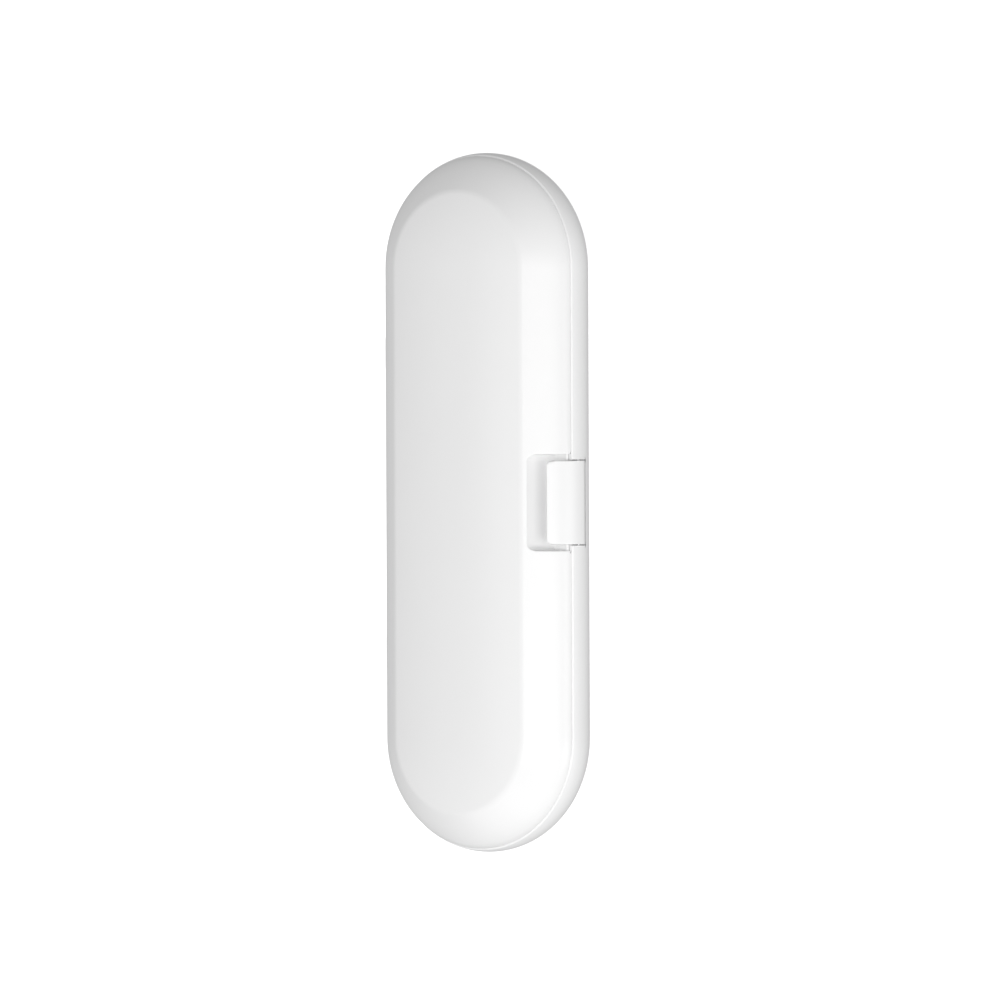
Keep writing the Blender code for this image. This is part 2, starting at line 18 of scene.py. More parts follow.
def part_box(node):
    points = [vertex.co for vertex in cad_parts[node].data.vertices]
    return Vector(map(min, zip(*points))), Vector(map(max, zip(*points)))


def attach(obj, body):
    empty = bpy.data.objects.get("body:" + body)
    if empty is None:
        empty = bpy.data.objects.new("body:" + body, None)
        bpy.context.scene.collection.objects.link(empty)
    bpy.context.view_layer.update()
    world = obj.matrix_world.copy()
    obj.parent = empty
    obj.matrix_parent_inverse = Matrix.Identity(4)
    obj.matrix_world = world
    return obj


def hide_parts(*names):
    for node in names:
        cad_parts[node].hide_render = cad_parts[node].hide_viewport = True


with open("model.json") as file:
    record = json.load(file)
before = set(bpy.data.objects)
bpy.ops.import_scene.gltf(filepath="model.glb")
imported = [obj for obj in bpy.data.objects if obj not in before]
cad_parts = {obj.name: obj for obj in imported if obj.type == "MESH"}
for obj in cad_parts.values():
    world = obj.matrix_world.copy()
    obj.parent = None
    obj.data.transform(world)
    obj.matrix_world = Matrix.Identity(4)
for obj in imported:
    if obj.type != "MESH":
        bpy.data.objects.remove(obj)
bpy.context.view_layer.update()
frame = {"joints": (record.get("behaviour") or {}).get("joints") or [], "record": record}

MM = 0.001
HALF_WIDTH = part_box("rear_shell")[1].x
HALF_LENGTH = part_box("rear_shell")[1].y
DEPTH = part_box("lid_shell")[1].z

# %% [markdown]
# ## The view
# A product photograph of a flat case is taken from high up, turned a little to one side, with a
# long lens from far away, so that parallel edges stay parallel. The camera is set by its turn from
# straight above, two tiny tilts, and the width of the table that the picture takes in.

# %% Set the camera
VIEW_TURN = math.radians(42.17)
VIEW_PITCH = 0.0047
VIEW_ROLL = 0.0039
PICTURE_WIDTH = 307.3 * MM
AIM_RIGHT = 13.13 * MM
AIM_UP = 0.84 * MM
CAMERA_DISTANCE = 10.0
SENSOR_WIDTH = 36
CROWN = 2.2 * MM
PANEL_EDGE_Z = DEPTH - CROWN


def camera_axes():
    """The directions right, up and backwards of the camera."""
    right = Vector((math.cos(VIEW_TURN), 0, -math.sin(VIEW_TURN)))
    level = Vector((math.sin(VIEW_TURN), 0, math.cos(VIEW_TURN)))
    up = Vector((0, math.cos(VIEW_PITCH), 0)) - math.sin(VIEW_PITCH) * level
    back = Vector((0, math.sin(VIEW_PITCH), 0)) + math.cos(VIEW_PITCH) * level
    turned = math.cos(VIEW_ROLL) * right - math.sin(VIEW_ROLL) * up
    return turned, math.sin(VIEW_ROLL) * right + math.cos(VIEW_ROLL) * up, back


right, up, back = camera_axes()
aim = Vector((0, 0, PANEL_EDGE_Z)) + AIM_RIGHT * right + AIM_UP * up
bpy.ops.object.camera_add()
camera = bpy.context.object
camera.name = "studio_camera"
camera.matrix_world = Matrix.Translation(aim + CAMERA_DISTANCE * back) @ Matrix(
    (right, up, back)
).transposed().to_4x4()
camera.data.sensor_width = SENSOR_WIDTH
camera.data.lens = SENSOR_WIDTH * CAMERA_DISTANCE / PICTURE_WIDTH
camera.data.clip_end = 2 * CAMERA_DISTANCE
bpy.context.scene.camera = camera
print("lens in mm:", round(camera.data.lens))

# %% [markdown]
# ## Working by hand, in code
# Every shape below starts as one vertex that is drawn out into a section, the way a designer
# sketches a profile. The section is then spun and stretched, or extruded. These few helpers select
# things by their place and run Blender's own tools on them.

# %% Helpers for selecting and drawing
WELD = 0.002 * MM


def pick(piece):
    """Make a piece the only one selected, in object mode."""
    if bpy.context.object and bpy.context.object.mode == "EDIT":
        bpy.ops.object.mode_set(mode="OBJECT")
    bpy.ops.object.select_all(action="DESELECT")
    piece.select_set(True)
    bpy.context.view_layer.objects.active = piece


def choose(piece, kind, test):
    """Select the vertices, edges or faces whose corner points pass a test, in edit mode."""
    pick(piece)
    bpy.ops.object.mode_set(mode="EDIT")
    bpy.ops.mesh.select_mode(type=kind)
    bpy.ops.mesh.select_all(action="DESELECT")
    bpy.ops.object.mode_set(mode="OBJECT")
    mesh = piece.data
    for item in {"VERT": mesh.vertices, "EDGE": mesh.edges, "FACE": mesh.polygons}[kind]:
        corners = [item.index] if kind == "VERT" else item.vertices
        item.select = test([mesh.vertices[i].co for i in corners])
    bpy.ops.object.mode_set(mode="EDIT")


def face_outwards():
    """Join points that meet and turn every face outwards."""
    bpy.ops.mesh.select_all(action="SELECT")
    bpy.ops.mesh.remove_doubles(threshold=WELD)
    bpy.ops.mesh.normals_make_consistent(inside=False)
    bpy.ops.object.mode_set(mode="OBJECT")


def trace(name, outline):
    """Draw an outline in X and Z by extruding one vertex from point to point."""
    if bpy.context.object and bpy.context.object.mode == "EDIT":
        bpy.ops.object.mode_set(mode="OBJECT")
    bpy.ops.object.select_all(action="DESELECT")
    bpy.ops.mesh.primitive_plane_add(size=MM)
    piece = bpy.context.object
    piece.name = piece.data.name = name
    bpy.ops.object.mode_set(mode="EDIT")
    bpy.ops.mesh.select_mode(type="VERT")
    bpy.ops.mesh.merge(type="CENTER")
    bpy.ops.transform.translate(value=(outline[0][0], 0, outline[0][1]))
    for start, end in zip(outline, outline[1:]):
        step = (end[0] - start[0], 0, end[1] - start[1])
        bpy.ops.mesh.extrude_vertices_move(TRANSFORM_OT_translate={"value": step})
    return piece


def round_corner(piece, corner, radius, steps=5):
    """Round one corner of a traced outline."""
    place = Vector((corner[0], 0, corner[1]))
    choose(piece, "VERT", lambda points: (points[0] - place).length < WELD)
    bpy.ops.mesh.bevel(offset=radius, segments=steps, affect="VERTICES")


print("points closer than", WELD / MM, "mm become one")

# %% [markdown]
# ## Solids from sections
# A section becomes a solid in two ways: spun and stretched into a long capsule, or drawn out along
# the case. A lathe would make a round end and an extruder the straight middle, and here one spin
# and one extrude do the same, so the two always meet without a step.

# %% Helpers for turning and extruding


def apply(piece, kind, **settings):
    """Add a modifier with its settings and apply it."""
    pick(piece)
    change = piece.modifiers.new(kind.title(), kind)
    for key, value in settings.items():
        setattr(change, key, value)
    bpy.ops.object.modifier_apply(modifier=change.name)


def turn(piece, half_straight, steps, end_share=1, x=0):
    """Spin a section half round, draw it out along Y and mirror it."""
    bpy.ops.mesh.select_all(action="SELECT")
    bpy.ops.mesh.spin(steps=steps, angle=math.pi, center=(0, 0, 0), axis=(0, 0, 1))
    bpy.ops.mesh.select_all(action="SELECT")
    bpy.ops.mesh.remove_doubles(threshold=WELD)
    bpy.ops.transform.resize(value=(1, end_share, 1), center_override=(0, 0, 0))
    bpy.ops.transform.translate(value=(0, -half_straight, 0))
    choose(piece, "EDGE", lambda points: min(p.y for p in points) > -half_straight - WELD)
    bpy.ops.mesh.extrude_edges_move(TRANSFORM_OT_translate={"value": (0, half_straight, 0)})
    bpy.ops.mesh.select_all(action="SELECT")
    bpy.ops.transform.translate(value=(x, 0, 0))
    apply(piece, "MIRROR", use_axis=(False, True, False), merge_threshold=WELD)
    bpy.ops.object.mode_set(mode="EDIT")
    face_outwards()
    return piece


def extrude(name, outline, length, middle=0):
    """A closed outline drawn out along Y."""
    piece = trace(name, outline)
    bpy.ops.mesh.select_all(action="SELECT")
    bpy.ops.mesh.edge_face_add()
    bpy.ops.transform.translate(value=(0, middle - length / 2, 0))
    bpy.ops.mesh.extrude_region_move(TRANSFORM_OT_translate={"value": (0, length, 0)})
    face_outwards()
    return piece


print("a section is spun half round, stretched and mirrored")

# %% [markdown]
# ## Bars, blocks and cuts
# What a mill or a drill would take away is a solid too, a block or a bar, that a Boolean modifier
# cuts out. The same modifier joins a boss or a knuckle on. The exact solver is slower than the
# others, but it keeps the walls closed where faces meet.

# %% Helpers for bars, blocks and cuts


def rod(name, radius, length, centre, rounding=0, sides=48):
    """A round bar along Y, with its ends rounded where that is asked for."""
    bpy.ops.object.select_all(action="DESELECT")
    bpy.ops.mesh.primitive_cylinder_add(
        vertices=sides, radius=radius, depth=length, location=centre, rotation=(math.pi / 2, 0, 0)
    )
    piece = bpy.context.object
    piece.name = piece.data.name = name
    bpy.ops.object.transform_apply(location=True, rotation=True, scale=True)
    if rounding:
        apply(piece, "BEVEL", width=rounding, segments=3, limit_method="ANGLE")
    return piece


def box(name, low, high):
    """A block between two corners."""
    low, high = Vector(low), Vector(high)
    bpy.ops.object.select_all(action="DESELECT")
    bpy.ops.mesh.primitive_cube_add(size=1, location=(low + high) / 2, scale=high - low)
    piece = bpy.context.object
    piece.name = piece.data.name = name
    bpy.ops.object.transform_apply(location=True, rotation=True, scale=True)
    return piece


def combine(piece, tool, operation="DIFFERENCE"):
    """Cut a tool out of a piece, or join it on, and throw the tool away."""
    apply(piece, "BOOLEAN", object=tool, operation=operation, solver="EXACT")
    bpy.data.objects.remove(tool)
    return piece


def arc(centre, radius, start, end, steps):
    """Points on an arc, by angles in degrees from +X towards +Z."""
    angles = [math.radians(start + (end - start) * step / steps) for step in range(steps + 1)]
    return [Vector((centre[0] + radius * math.cos(a), centre[1] + radius * math.sin(a))) for a in angles]


print("a quarter turn in two steps:", [tuple(round(v, 2) for v in p) for p in arc((0, 0), 1, 0, 90, 2)])

# %% [markdown]
# ## The side curve
# Seen from its end the case is a lens with rounded sides. One smooth curve runs from the widest
# point up to the edge of the front panel, and the back repeats it upside down. A Bezier curve of
# four points gives it, so the whole form hangs on a handful of sizes. It could be drawn by eye, but
# the wall, the clasp and the scoop all have to follow it at their own distance.

# %% Draw the side curve
END_LENGTH = 35.25 * MM
PANEL_HALF = 26.1 * MM
CROWN_POWER = 2.4
FLAT_HALF = 12 * MM
WALL = 1.6 * MM
CLEAR = 0.3 * MM
CURVE_SHARES = (0.728, 0.409, 0.354)
SIDE_STEPS = 26
PANEL_STEPS = 16
END_STEPS = 60
EQUATOR = DEPTH / 2
BACK_EDGE = CROWN
PARTING = EQUATOR + 3.5 * MM
SEAM = 0.3 * MM
HALF_STRAIGHT = HALF_LENGTH - END_LENGTH
END_SHARE = END_LENGTH / HALF_WIDTH


def side_point(share):
    """A point and its outward normal, from the widest point (0) to the panel's edge (1)."""
    across, down, up_share = CURVE_SHARES
    rise, inward = PANEL_EDGE_Z - EQUATOR, HALF_WIDTH - PANEL_HALF
    corners = (
        Vector((HALF_WIDTH, EQUATOR)),
        Vector((HALF_WIDTH, EQUATOR + up_share * rise)),
        Vector((PANEL_HALF + across * inward, PANEL_EDGE_Z - down * rise)),
        Vector((PANEL_HALF, PANEL_EDGE_Z)),
    )
    rest = 1 - share
    weights = (rest**3, 3 * rest**2 * share, 3 * rest * share**2, share**3)
    point = sum((w * c for w, c in zip(weights, corners)), Vector((0, 0)))
    steps = [b - a for a, b in zip(corners, corners[1:])]
    tangent = rest**2 * steps[0] + 2 * rest * share * steps[1] + share**2 * steps[2]
    return point, Vector((tangent.y, -tangent.x)).normalized()


def side(inset=0):
    """The side curve from the back edge up to the panel's edge, moved in by an inset."""
    upper = []
    for step in range(SIDE_STEPS + 1):
        point, normal = side_point(step / SIDE_STEPS)
        upper.append(point - inset * normal)
    return [Vector((p.x, 2 * EQUATOR - p.y)) for p in reversed(upper[1:])] + upper


outer = side()
print("side curve points:", len(outer))

# %% [markdown]
# ## Front and back
# The front panel bulges a little, as a flat one would look hollow in the light, and the back has a
# flat to lie on. Sections are put together from stretches of the side curve and these two.

# %% Helpers for sections


def radius_at(curve, height):
    """How far out a curve is at a height."""
    for low, high in zip(curve, curve[1:]):
        if low.y <= height <= high.y:
            return low.x + (high.x - low.x) * (height - low.y) / (high.y - low.y)
    return curve[0].x if height < curve[0].y else curve[-1].x


def between(curve, low, high):
    """The stretch of a curve between two heights."""
    inner = [p for p in curve if low + CLEAR / 3 < p.y < high - CLEAR / 3]
    return [Vector((radius_at(curve, low), low)), *inner, Vector((radius_at(curve, high), high))]


def front(edge, inset):
    """The crowned front, from just inside its edge to the middle."""
    radii = [edge * (1 - step / PANEL_STEPS) for step in range(1, PANEL_STEPS + 1)]
    return [Vector((r, DEPTH - inset - CROWN * (r / PANEL_HALF) ** CROWN_POWER)) for r in radii]


def back_face(edge, inset):
    """The back, from the middle of its flat to just inside its edge."""
    points = [Vector((0, inset)), Vector((FLAT_HALF, inset))]
    for step in range(1, PANEL_STEPS):
        r = FLAT_HALF + (edge - FLAT_HALF) * step / PANEL_STEPS
        points.append(Vector((r, inset + CROWN * ((r - FLAT_HALF) / (PANEL_HALF - FLAT_HALF)) ** 2)))
    return points


print("height of the panel's middle in mm:", round(front(PANEL_HALF, 0)[-1].y / MM, 1))

# %% [markdown]
# ## The rear shell
# The deeper half is one injection moulding. Its rim has a small chamfer outside, a flat seam, and an
# inner lip that the lid slides over. The wall inside is straight so that the mould's core can be
# drawn out. A Solidify modifier could give the wall, but not the lip and the bosses, so the outer
# body and its hollow are both turned from sections, and one is cut from the other.

# %% Turn the rear shell
BEYOND = 2 * MM
SKIRT = 0.6 * MM
LIP_HEIGHT = 1.2 * MM
LIP_WALL = 0.7 * MM
SEAM_CHAMFER = 0.36 * MM
CREASE_ROUND = 1.0 * MM
skirt_radius = radius_at(outer, PARTING + LIP_HEIGHT + CLEAR) - SKIRT
lip_radius = skirt_radius - CLEAR
cavity_radius = lip_radius - LIP_WALL
lip_top = PARTING + LIP_HEIGHT

rim = Vector((radius_at(outer, PARTING), PARTING))
section = [*back_face(PANEL_HALF, 0), *between(outer, BACK_EDGE, PARTING)]
section += [Vector((lip_radius, PARTING)), Vector((lip_radius, lip_top)), Vector((0, lip_top))]
rear = trace("rear_shell_moulding", section)
round_corner(rear, rim, SEAM_CHAMFER, 1)
round_corner(rear, (PANEL_HALF, BACK_EDGE), CREASE_ROUND)
turn(rear, HALF_STRAIGHT, END_STEPS, END_SHARE)

inner = side(WALL)
wall_side = [p for p in inner if p.x < cavity_radius and p.y < EQUATOR]
corner = Vector((cavity_radius, wall_side[-1].y + CLEAR))
section = [*back_face(inner[0].x, WALL), *wall_side, corner]
section += [Vector((cavity_radius, lip_top + BEYOND)), Vector((0, lip_top + BEYOND))]
hollow = turn(trace("base_hollow", section), HALF_STRAIGHT, END_STEPS - 2, END_SHARE)
print("rear shell faces:", len(rear.data.polygons))

# %% [markdown]
# ## The hinge and the clasp's pin
# Each hinge has a lid knuckle between two base knuckles on one pin, and the clasp turns on a thinner
# pin on the other side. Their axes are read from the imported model's joints, not measured again, so
# the finer pieces turn on the same lines.

# %% Set the sizes of the hinge and the clasp's pin
joints = {joint["name"]: joint for joint in frame["joints"]}
HINGE_X = -joints["lid_hinge"]["pos_m"][0]
HINGE_Z = joints["lid_hinge"]["pos_m"][2]
PIVOT_X, _, PIVOT_Z = joints["clasp_hinge"]["pos_m"]
KNUCKLE = 1.45 * MM
KNUCKLE_ROUND = 0.2 * MM
HINGE_STATION = 46 * MM
HINGE_STATIONS = {"upper": HINGE_STATION, "lower": -HINGE_STATION}
LID_KNUCKLE = 10 * MM
BASE_KNUCKLE = 5.5 * MM
HINGE_PIN = 0.7 * MM
PIN_CLEAR = 0.25 * MM
HINGE_POCKET = 2.35 * MM
BOSS_WALL = 1.1 * MM
KNUCKLE_SINK = 0.2 * MM
HINGE_BOSS_DEPTH = 6.5 * MM
knuckle_step = LID_KNUCKLE / 2 + CLEAR + BASE_KNUCKLE / 2
hinge_length = 2 * (knuckle_step + BASE_KNUCKLE / 2)
hinge_boss_x = HINGE_POCKET + BOSS_WALL - HINGE_X
hinge_boss_half = LID_KNUCKLE / 2 + CLEAR + BOSS_WALL

CLASP_LENGTH = 25.7 * MM
CLASP_KNUCKLE = 2.1 * MM
KNUCKLE_GAP = 0.35 * MM
CLASP_SWING = CLASP_KNUCKLE + KNUCKLE_GAP
CLASP_PIN = 0.5 * MM
PIN_SEAT = 1.6 * MM
SCOOP_LENGTH = 29.7 * MM
LATCH_WALL = 1.2 * MM
LATCH_BOSS_DEPTH = 6.8 * MM
latch_boss_x = PIVOT_X - CLASP_SWING - LATCH_WALL
latch_boss_half = SCOOP_LENGTH / 2 + PIN_SEAT + LATCH_WALL


def hinge_point(y):
    """A point on the hinge's axis."""
    return Vector((-HINGE_X, y, HINGE_Z))


print("hinge axis in mm:", [round(v / MM, 2) for v in hinge_point(0)])
print("clasp axis in mm:", [round(v / MM, 2) for v in (PIVOT_X, 0, PIVOT_Z)])

# %% [markdown]
# ## Bosses and hinge knuckles
# Inside the wall, thicker blocks carry the knuckles and the clasp's pin. They could be joined on
# later, but it is simpler to take them out of the hollow before it is cut from the shell, which
# leaves them standing. Each hinge then gets a pocket for the lid's knuckle, two knuckles and a bore.

# %% Cut the hollow and the hinge pockets
top = lip_top + BEYOND
low = (latch_boss_x, -latch_boss_half, PARTING - LATCH_BOSS_DEPTH)
combine(hollow, box("latch_boss", low, (HALF_WIDTH + BEYOND, latch_boss_half, top + BEYOND)))
for y in HINGE_STATIONS.values():
    low = (-HALF_WIDTH - BEYOND, y - hinge_boss_half, PARTING - HINGE_BOSS_DEPTH)
    combine(hollow, box("hinge_boss", low, (hinge_boss_x, y + hinge_boss_half, PARTING)))
combine(rear, hollow)
for y in HINGE_STATIONS.values():
    length = LID_KNUCKLE + 2 * (CLEAR + KNUCKLE_SINK)
    combine(rear, rod("knuckle_pocket", HINGE_POCKET, length, hinge_point(y)))
    for side_way in (-1, 1):
        centre = hinge_point(y + side_way * knuckle_step)
        combine(rear, rod("base_knuckle", KNUCKLE, BASE_KNUCKLE, centre, KNUCKLE_ROUND), "UNION")
    bore = rod("hinge_bore", HINGE_PIN + PIN_CLEAR, hinge_length + CLEAR, hinge_point(y))
    combine(rear, bore)
print("rear shell faces:", len(rear.data.polygons))

# %% [markdown]
# ## The finger scoop
# A finger has to get under the clasp's free end, so the lid has a scoop there: a steep wall at the
# back that turns into the floor in one large cove, with rounded corners. It could be dented in by
# sculpting, but a cutter with one outline gives the scoop above the seam and the pocket below it,
# so the two halves line up.

# %% Make the scoop cutter
SCOOP_WIDTH = 11.5 * MM
SCOOP_LEAN = 2.1 * MM
SCOOP_FOOT = 0.7 * MM
COVE = 7.5 * MM
COVE_STEPS = 8
SCOOP_CORNER = 2.3 * MM
SCOOP_CORNER_STEPS = 7
POCKET_DEPTH = 1.0 * MM
POCKET_EXIT = 300
POCKET_STEPS = 24
SHELF_RISE = 0.5 * MM
SHELF = PARTING + SEAM + SHELF_RISE


def scoop_outline():
    """The scoop above the seam and the pocket below it, as one outline."""
    start = Vector((HALF_WIDTH - SCOOP_WIDTH, PANEL_EDGE_Z))
    foot = Vector((start.x + SCOOP_LEAN, SHELF + SCOOP_FOOT))
    lean = (start - foot) / (start.y - foot.y)
    head = start + lean * (DEPTH + BEYOND - start.y)
    facing = Vector((lean.y, -lean.x)).normalized()
    meeting = foot + lean * (COVE * (1 - facing.y) - SCOOP_FOOT)
    middle = meeting + COVE * facing
    cove = arc(middle, COVE, 180 + math.degrees(math.atan2(facing.y, facing.x)), 270, COVE_STEPS)
    floor = between(side(POCKET_DEPTH), PIVOT_Z + CLASP_SWING, SHELF)
    first = math.degrees(math.acos((floor[0].x - PIVOT_X) / CLASP_SWING))
    pocket = arc((PIVOT_X, PIVOT_Z), CLASP_SWING, first, POCKET_EXIT, POCKET_STEPS)
    outside = HALF_WIDTH + BEYOND
    away = [Vector((outside, pocket[-1].y)), Vector((outside, head.y))]
    return [head, *cove, *floor[::-1], *pocket, *away]


def make_scoop(name, length):
    """The cutter, with its two standing corners rounded down to the floor."""
    piece = extrude(name, scoop_outline(), length)
    reach = scoop_outline()[1].x + COVE / 2

    def is_back_corner(points):
        """Whether an edge runs down the back wall at one end."""
        a, b = points
        return abs(a.y - b.y) < WELD and min(a.z, b.z) > SHELF + BEYOND / 4 and max(a.x, b.x) < reach

    choose(piece, "EDGE", is_back_corner)
    bpy.ops.mesh.bevel(offset=SCOOP_CORNER, segments=SCOOP_CORNER_STEPS, profile=0.5, affect="EDGES")
    bpy.ops.object.mode_set(mode="OBJECT")
    return piece


print("scoop's floor in mm above the back:", round(SHELF / MM, 2))

# %% [markdown]
# ## The clasp's pocket
# The base's lip stops where the clasp's bead passes it. Below the seam a shorter cutter of the
# scoop's outline makes the pocket that the clasp lies in, and a bore takes its pin.

# %% Cut the clasp's pocket
low = (latch_boss_x - BEYOND, -latch_boss_half - CLEAR, PARTING - PIN_CLEAR)
combine(rear, box("lip_break", low, (lip_radius + CLEAR / 2, latch_boss_half + CLEAR, top + BEYOND)))
combine(rear, make_scoop("clasp_pocket", CLASP_LENGTH + 2 * CLEAR))
bore = rod("latch_bore", CLASP_PIN + PIN_CLEAR, SCOOP_LENGTH + 2 * PIN_SEAT, (PIVOT_X, 0, PIVOT_Z))
combine(rear, bore)
print("rear shell faces:", len(rear.data.polygons))

# %% [markdown]
# ## The lid
# The lid is the shallower half: a crowned panel, a soft crease round it and the upper part of the
# side curve. Its wall draws in a little towards the rim, so the base's rim stands proud of it and
# shows as a bright line. It is turned from a section like the base, so that both have the same
# outline.

# %% Turn the lid
LID_RIM = PARTING + SEAM
SEAM_SHOWN = 0.05 * MM
LID_ROUND = 0.03 * MM
CREASE_STEPS = 8
TUCK = 0.4 * MM
TUCK_HEIGHT = 2.6 * MM
lid_low = PARTING + SEAM_SHOWN
wall = between(outer, lid_low, PANEL_EDGE_Z)
for point in wall:
    point.x -= TUCK * max(0, 1 - (point.y - lid_low) / TUCK_HEIGHT) ** 2
lid_rim = wall[0].copy()
section = [Vector((0, lid_low)), *wall, *front(PANEL_HALF, 0)]
lid = trace("lid_shell_moulding", section)
round_corner(lid, lid_rim, LID_ROUND)
round_corner(lid, (PANEL_HALF, PANEL_EDGE_Z), CREASE_ROUND, CREASE_STEPS)
turn(lid, HALF_STRAIGHT, END_STEPS, END_SHARE)
print("lid faces:", len(lid.data.polygons))

# %% [markdown]
# ## The lid's hollow and scoop
# A rebate inside the rim slides over the base's lip. Behind the scoop the wall follows the scoop's
# shape: a block is taken out of the hollow first, so that a backing is left there when it is cut.

# %% Cut the lid's hollow and scoop
rebate_top = PARTING + LIP_HEIGHT + CLEAR
section = [Vector((0, PARTING - BEYOND)), Vector((skirt_radius, PARTING - BEYOND))]
section += [Vector((skirt_radius, rebate_top)), *between(inner, rebate_top, inner[-1].y)]
section += front(inner[-1].x, WALL)
hollow = turn(trace("lid_hollow", section), HALF_STRAIGHT, END_STEPS - 2, END_SHARE)

head, foot = scoop_outline()[:2]
setback = Vector((WALL, 0))
floor_z, outside = PARTING - BEYOND, HALF_WIDTH + BEYOND
backing = [head - setback, foot - setback, (foot.x - WALL, floor_z), (outside, floor_z),
           (outside, head.y)]
combine(hollow, extrude("scoop_backing", backing, SCOOP_LENGTH + 2 * WALL))
combine(lid, hollow)
combine(lid, make_scoop("finger_scoop", SCOOP_LENGTH))
print("lid faces:", len(lid.data.polygons))

# %% [markdown]
# ## The lid's hinge knuckles
# The lid's knuckles sit between the base's. Each hangs on an arm that reaches down over the seam,
# so the pin can lie below the rim and the lid swings clear of the base. Knuckle and arm are joined
# first and then added to the lid, which keeps the joint between them clean.

# %% Add the lid's hinge knuckles
ARM_RISE = 3.1 * MM
ARM_START = 150
ARM_STEPS = 4


def arm_outline():
    """The arm that reaches down from the lid's side to its knuckle."""
    inside, top_z = -(skirt_radius + SKIRT / 4), LID_RIM + ARM_RISE
    root = -radius_at(outer, top_z)
    round_back = arc((-HINGE_X, HINGE_Z), KNUCKLE, ARM_START, 180, ARM_STEPS)
    return [*round_back, Vector((-HINGE_X, HINGE_Z - HINGE_PIN)), Vector((inside, HINGE_Z)),
            Vector((inside, LID_RIM + LIP_HEIGHT)), Vector((root + SKIRT, top_z)),
            Vector((root - KNUCKLE_SINK, top_z))]


for y in HINGE_STATIONS.values():
    for side_way in (-1, 1):
        centre = hinge_point(y + side_way * knuckle_step)
        length = BASE_KNUCKLE + 2 * (CLEAR + KNUCKLE_SINK)
        combine(lid, rod("lid_pocket", KNUCKLE + CLEAR, length, centre))
    knuckle = rod("lid_knuckle", KNUCKLE, LID_KNUCKLE, hinge_point(y), KNUCKLE_ROUND)
    arm = extrude("lid_arm", arm_outline(), LID_KNUCKLE - 2 * KNUCKLE_SINK, y)
    combine(lid, combine(knuckle, arm, "UNION"), "UNION")
    bore = rod("lid_bore", HINGE_PIN + PIN_CLEAR, LID_KNUCKLE + BEYOND, hinge_point(y))
    combine(lid, bore)
print("lid faces:", len(lid.data.polygons))

# %% [markdown]
# ## Soft edges
# Moulded edges are never quite sharp, and a thin bright line along them is what the eye reads as
# plastic. These edges are found by their place and their angle. Points too close together are
# joined before the rounding, because a bevel folds over itself where an edge is shorter than it.

# %% Helpers for soft edges
SHARP = math.radians(35)
SHORT_EDGE = 0.3 * MM
CLASP_ZONE_X = 24 * MM
CLASP_ZONE_Z = 12 * MM


def ring(piece, reach):
    """Cut all faces across on both sides of the middle, so a corner shades only what is near it."""
    for plane in (-reach, reach):
        choose(piece, "FACE", lambda points: True)
        bpy.ops.mesh.bisect(plane_co=(0, plane, 0), plane_no=(0, 1, 0))
        bpy.ops.object.mode_set(mode="OBJECT")


def soften(piece, width):
    """Round the outward edges near the clasp, after joining points that are too close together."""
    form = bmesh.new()
    form.from_mesh(piece.data)
    reach = SCOOP_LENGTH / 2 + SCOOP_FOOT
    low, high = (CLASP_ZONE_X, -reach, CLASP_ZONE_Z), (HALF_WIDTH, reach, DEPTH)
    sharp = set()
    for edge in form.edges:
        middle = (edge.verts[0].co + edge.verts[1].co) / 2
        near = all(a < m < b for a, m, b in zip(low, middle, high))
        if near and edge.is_manifold and edge.is_convex and edge.calc_face_angle() > SHARP:
            sharp.add(frozenset(v.index for v in edge.verts))
    form.free()
    choose(piece, "EDGE", lambda points: False)
    bpy.ops.object.mode_set(mode="OBJECT")
    for edge in piece.data.edges:
        edge.select = frozenset(edge.vertices) in sharp
    bpy.ops.object.mode_set(mode="EDIT")
    bpy.ops.mesh.remove_doubles(threshold=SHORT_EDGE)
    bpy.ops.mesh.bevel(offset=width, segments=2, affect="EDGES", clamp_overlap=False)
    bpy.ops.object.mode_set(mode="OBJECT")


print("edges sharper than", round(math.degrees(SHARP)), "degrees are softened")

# %% [markdown]
# ## The clasp
# The clasp is a small plate that follows the case's side. Its lower end is rolled into a knuckle
# round a pin, and a bead inside it snaps over the scoop's floor. Its free end has rounded corners
# and stands a little proud, where the finger lifts it. It could be bent from a thin box, but its
# section drawn once and extruded keeps the same side curve as the case.

# %% Draw the clasp's outlines
CLASP_PLATE = 1.5 * MM
CLASP_PROUD = 0.85 * MM
CLASP_REACH = 6.5 * MM
CLASP_CORNER = 1.4 * MM
CLASP_CORNER_STEPS = 6
TIP_STRAIGHT = 1.7 * MM
CLASP_ROUND = 0.4 * MM
CATCH_HEIGHT = 1.2 * MM
CATCH_REACH = 1.1 * MM
CATCH_END = 1.8 * MM
KNUCKLE_STEPS = 28
KNUCKLE_OVERLAP = 8


def clasp_outline():
    """The plate and its knuckle as one outline, from the tip down the outside and up the inside."""
    tip_z = PARTING + CLASP_REACH
    outside = between(side(-CLASP_PROUD), PIVOT_Z, tip_z)
    inside = between(side(CLASP_PLATE - CLASP_PROUD), PIVOT_Z, tip_z)
    along = (outside[-1] - outside[-2]).normalized()
    end = outside[-1] + CLASP_PLATE * Vector((-along.y, along.x))
    meeting = next(p for p in inside if (p - Vector((PIVOT_X, PIVOT_Z))).length > CLASP_KNUCKLE)
    last = math.degrees(math.atan2(meeting.y - PIVOT_Z, meeting.x - PIVOT_X))
    knuckle = arc((PIVOT_X, PIVOT_Z), CLASP_KNUCKLE, 360, last + KNUCKLE_OVERLAP, KNUCKLE_STEPS)
    upper = [p for p in inside if meeting.y <= p.y < end.y - CLEAR]
    tip = outside[-1]
    outside = [p for p in outside[1:-1] if (p - tip).length > TIP_STRAIGHT]
    upper = [p for p in upper if (p - end).length > TIP_STRAIGHT]
    return [tip, *reversed(outside), *knuckle, *upper, end]


